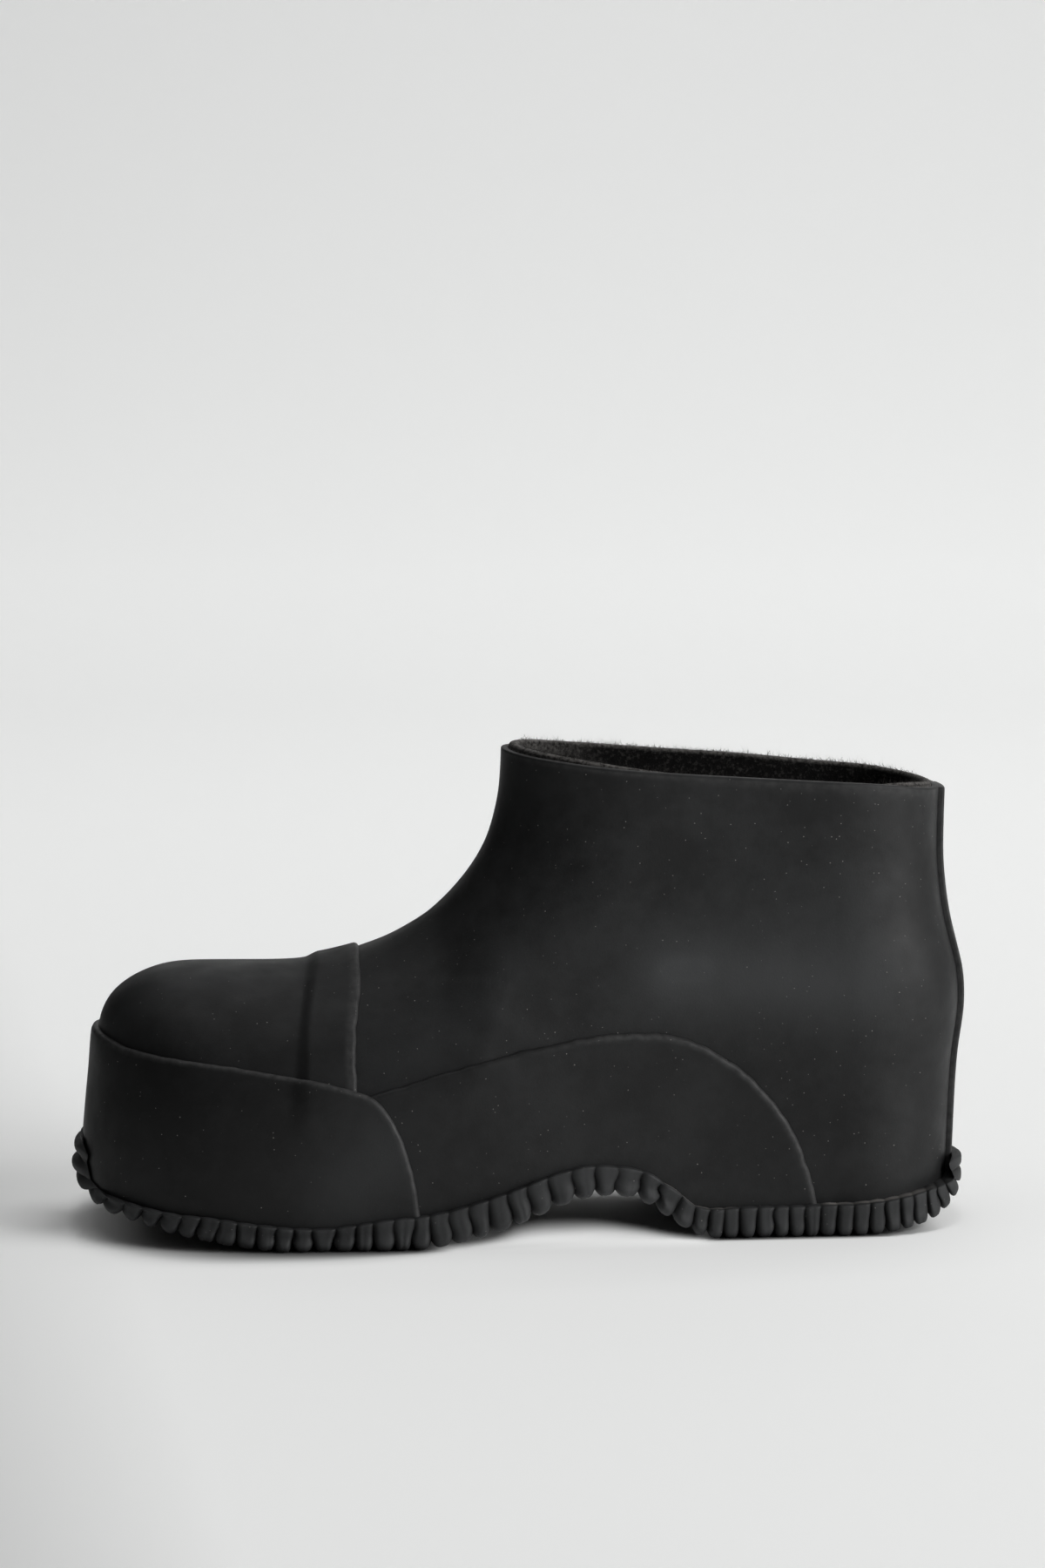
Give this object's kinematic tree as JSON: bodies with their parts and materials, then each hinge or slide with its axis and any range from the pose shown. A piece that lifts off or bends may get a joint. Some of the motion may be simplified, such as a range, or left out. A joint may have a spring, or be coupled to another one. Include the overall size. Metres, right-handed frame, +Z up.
{
  "type": "low rubber boot",
  "caption": "Low pull-on rubber boot for the left foot with a round toe cap, a wrapped toe guard, side panels and a thick ribbed sole; it keeps a foot dry and holds it at the ankle.",
  "frame": {"origin": "on the floor, under the middle of the boot's box", "axes": "+X from the toe toward the heel, +Y toward the inner side of the foot, +Z up"},
  "size_m": [0.2822, 0.107, 0.1496],
  "materials": {
    "upper": "matte",
    "outsole": "satin",
    "insole": "felt",
    "toe_guard": "matte",
    "toe_cap": "matte",
    "side_panel_outer": "matte",
    "side_panel_inner": "matte",
    "backstay": "matte"
  },
  "bodies": {
    "root": {"upper": "upper", "outsole": "outsole", "insole": "insole", "toe_guard": "toe_guard", "toe_cap": "toe_cap", "side_panel_outer": "side_panel_outer", "side_panel_inner": "side_panel_inner", "backstay": "backstay"}
  },
  "joints": []
}
